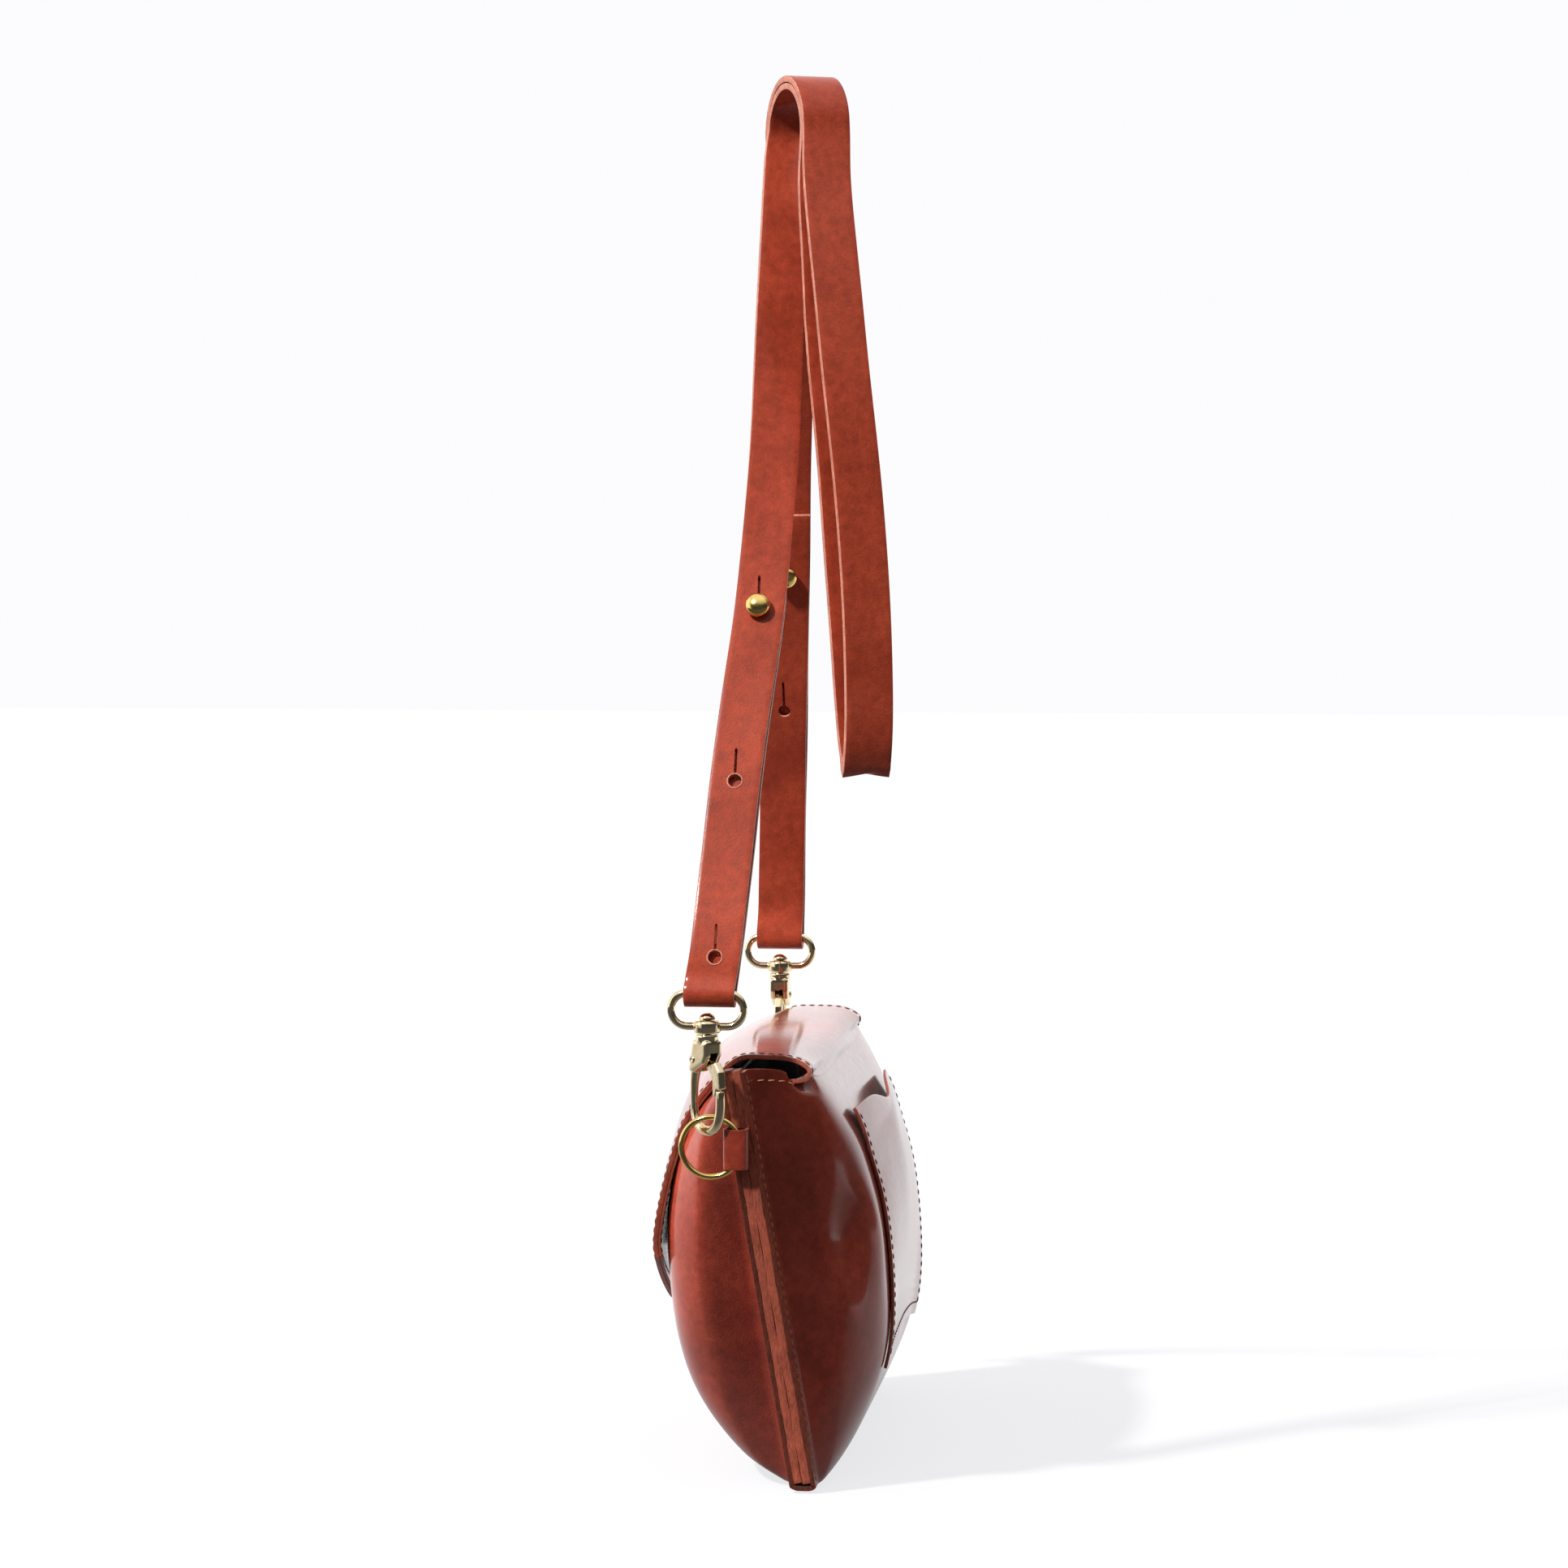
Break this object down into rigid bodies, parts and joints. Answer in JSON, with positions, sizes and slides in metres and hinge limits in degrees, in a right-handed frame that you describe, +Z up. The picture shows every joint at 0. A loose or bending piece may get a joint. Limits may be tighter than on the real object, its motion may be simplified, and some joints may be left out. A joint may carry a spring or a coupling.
{
  "type": "leather shoulder bag",
  "caption": "Small pillow-shaped leather shoulder bag with a fold-over flap, a back pocket, sewn ends, swivel clasps on wire rings and a strap doubled over its hanging point.",
  "frame": {"origin": "the hang point: underside of the strap where it passes over its rod", "axes": "+Z up, X along the bag, the flap's front on -Y"},
  "size_m": [0.2586, 0.1023, 0.5657],
  "materials": {
    "leather": "glossy chestnut hide with a fine grain",
    "leather_edge": "cut and dyed leather edge",
    "brass": "polished",
    "brass_clasp": "polished pale gold plate",
    "spring_steel": "drawn wire",
    "magnet": "dark leather-covered disc"
  },
  "bodies": {
    "bag": {"body_wrap": "leather", "back_pocket": "leather", "strap": "leather", "magnet_front": "magnet", "side_welt_front_right": "leather_edge", "side_welt_back_right": "leather_edge", "ring_tab_right": "leather", "stud_right": "brass", "stud_base_right": "brass", "side_welt_front_left": "leather_edge", "side_welt_back_left": "leather_edge", "ring_tab_left": "leather", "stud_left": "brass", "stud_base_left": "brass"},
    "flap": {"flap": "leather", "magnet_flap": "magnet"},
    "clasp_eye_right": {"clasp_eye_right": "brass_clasp"},
    "clasp_hook_right": {"clasp_hook_right": "brass_clasp", "clasp_rivet_right": "brass_clasp", "gate_pin_right": "brass_clasp", "gate_spring_right": "spring_steel"},
    "clasp_gate_right": {"clasp_gate_right": "brass_clasp"},
    "ring_right": {"ring_right": "brass"},
    "clasp_eye_left": {"clasp_eye_left": "brass_clasp"},
    "clasp_hook_left": {"clasp_hook_left": "brass_clasp", "clasp_rivet_left": "brass_clasp", "gate_pin_left": "brass_clasp", "gate_spring_left": "spring_steel"},
    "clasp_gate_left": {"clasp_gate_left": "brass_clasp"},
    "ring_left": {"ring_left": "brass"}
  },
  "joints": [
    {"name": "flap_lift", "type": "hinge", "parent": "bag", "child": "flap", "pos_m": [-0.01, 0.0142, -0.399], "axis": [-1, 0, 0], "range_deg": [0, 110]},
    {"name": "eye_rock_right", "type": "hinge", "parent": "bag", "child": "clasp_eye_right", "pos_m": [0.11, -0.027, -0.3622], "axis": [0, 1, 0], "range_deg": [-1.3, 1.3]},
    {"name": "hook_swivel_right", "type": "hinge", "parent": "clasp_eye_right", "child": "clasp_hook_right", "pos_m": [0.11, -0.027, -0.3782], "axis": [0, 0, 1], "range_deg": [-8, 1]},
    {"name": "gate_open_right", "type": "hinge", "parent": "clasp_hook_right", "child": "clasp_gate_right", "pos_m": [0.10676, -0.03013, -0.3886], "axis": [-0.6947, 0.7193, 0], "range_deg": [0, 13], "stiffness_Nm_per_rad": 0.02},
    {"name": "ring_swing_right", "type": "hinge", "parent": "bag", "child": "ring_right", "pos_m": [0.11, -0.0137, -0.4231], "axis": [0, 0, 1], "range_deg": [-5.1, 5.1]},
    {"name": "eye_rock_left", "type": "hinge", "parent": "bag", "child": "clasp_eye_left", "pos_m": [-0.13, -0.027, -0.3622], "axis": [0, 1, 0], "range_deg": [-1.3, 1.3]},
    {"name": "hook_swivel_left", "type": "hinge", "parent": "clasp_eye_left", "child": "clasp_hook_left", "pos_m": [-0.13, -0.027, -0.3782], "axis": [0, 0, 1], "range_deg": [-15, 15]},
    {"name": "gate_open_left", "type": "hinge", "parent": "clasp_hook_left", "child": "clasp_gate_left", "pos_m": [-0.1345, -0.027, -0.3886], "axis": [0, 1, 0], "range_deg": [0, 13], "stiffness_Nm_per_rad": 0.02},
    {"name": "ring_swing_left", "type": "hinge", "parent": "bag", "child": "ring_left", "pos_m": [-0.13, -0.0137, -0.4231], "axis": [0, 0, 1], "range_deg": [-5.1, 5.1]}
  ],
  "couplings": [
    {"joint": "ring_swing_right", "follows": "eye_rock_right", "ratio": -3.9},
    {"joint": "ring_swing_left", "follows": "eye_rock_left", "ratio": -3.9}
  ]
}
